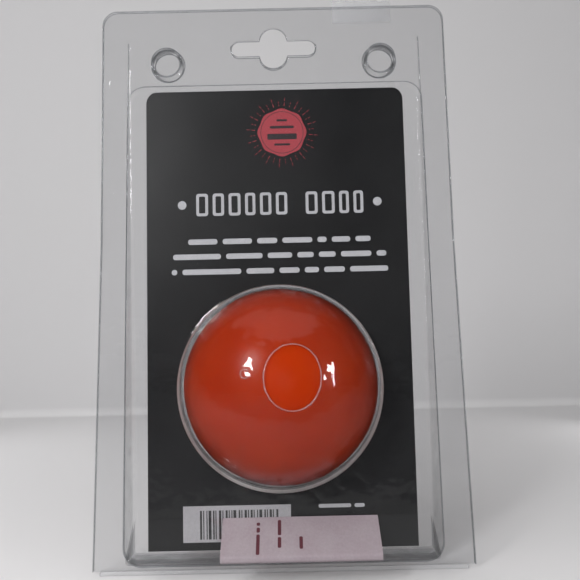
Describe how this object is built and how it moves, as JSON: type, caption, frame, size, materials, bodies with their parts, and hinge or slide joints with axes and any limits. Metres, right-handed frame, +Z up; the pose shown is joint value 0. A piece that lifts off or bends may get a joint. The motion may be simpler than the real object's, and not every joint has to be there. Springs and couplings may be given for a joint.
{
  "type": "packaged stress ball",
  "caption": "Gel-filled squeeze ball held in a hinged clear clamshell pack with a folded windowed card, a press-through opening and a hang hole.",
  "frame": {"origin": "middle of the pack's bottom edge, in the plane where the two shells meet", "axes": "+Z up along the pack's height, +X to the right seen from the front, +Y to the back; the side with the press opening and the foot faces -Y"},
  "size_m": [0.139, 0.0731, 0.2118],
  "materials": {
    "clear_sheet": "clear thermoformed sheet, glossy with slight haze",
    "hinge_plastic": "clear, slightly frosted at the flexing bead",
    "orange_rubber": "smooth translucent soft rubber, satin",
    "plug_rubber": "same rubber, slightly duller",
    "orange_gel": "thick clear orange syrup",
    "black_card": "printed black, satin varnish, white inside",
    "white_paper": "matte paper label",
    "tinted_paper": "thin matte paper label",
    "clear_tape": "clear glossy tape"
  },
  "bodies": {
    "back": {"back_shell": "clear_sheet", "hinge_bead": "hinge_plastic", "insert_card": "black_card", "barcode_label": "white_paper", "seal_tape_rear": "clear_tape"},
    "front": {"front_shell": "clear_sheet", "caution_label": "tinted_paper", "seal_tape_front": "clear_tape"},
    "ball": {"ball_skin": "orange_rubber", "ball_plug": "plug_rubber", "ball_gel": "orange_gel"}
  },
  "joints": [
    {"name": "front_shell_hinge", "type": "hinge", "parent": "back", "child": "front", "pos_m": [0, 0, 0.0008], "axis": [1, 0, 0], "range_deg": [0, 170], "stiffness_Nm_per_rad": 0.05, "springref_deg": -8.59},
    {"name": "ball_roll", "type": "hinge", "parent": "back", "child": "ball", "pos_m": [0, 0, 0.0677], "axis": [1, 0, 0], "continuous": true}
  ]
}
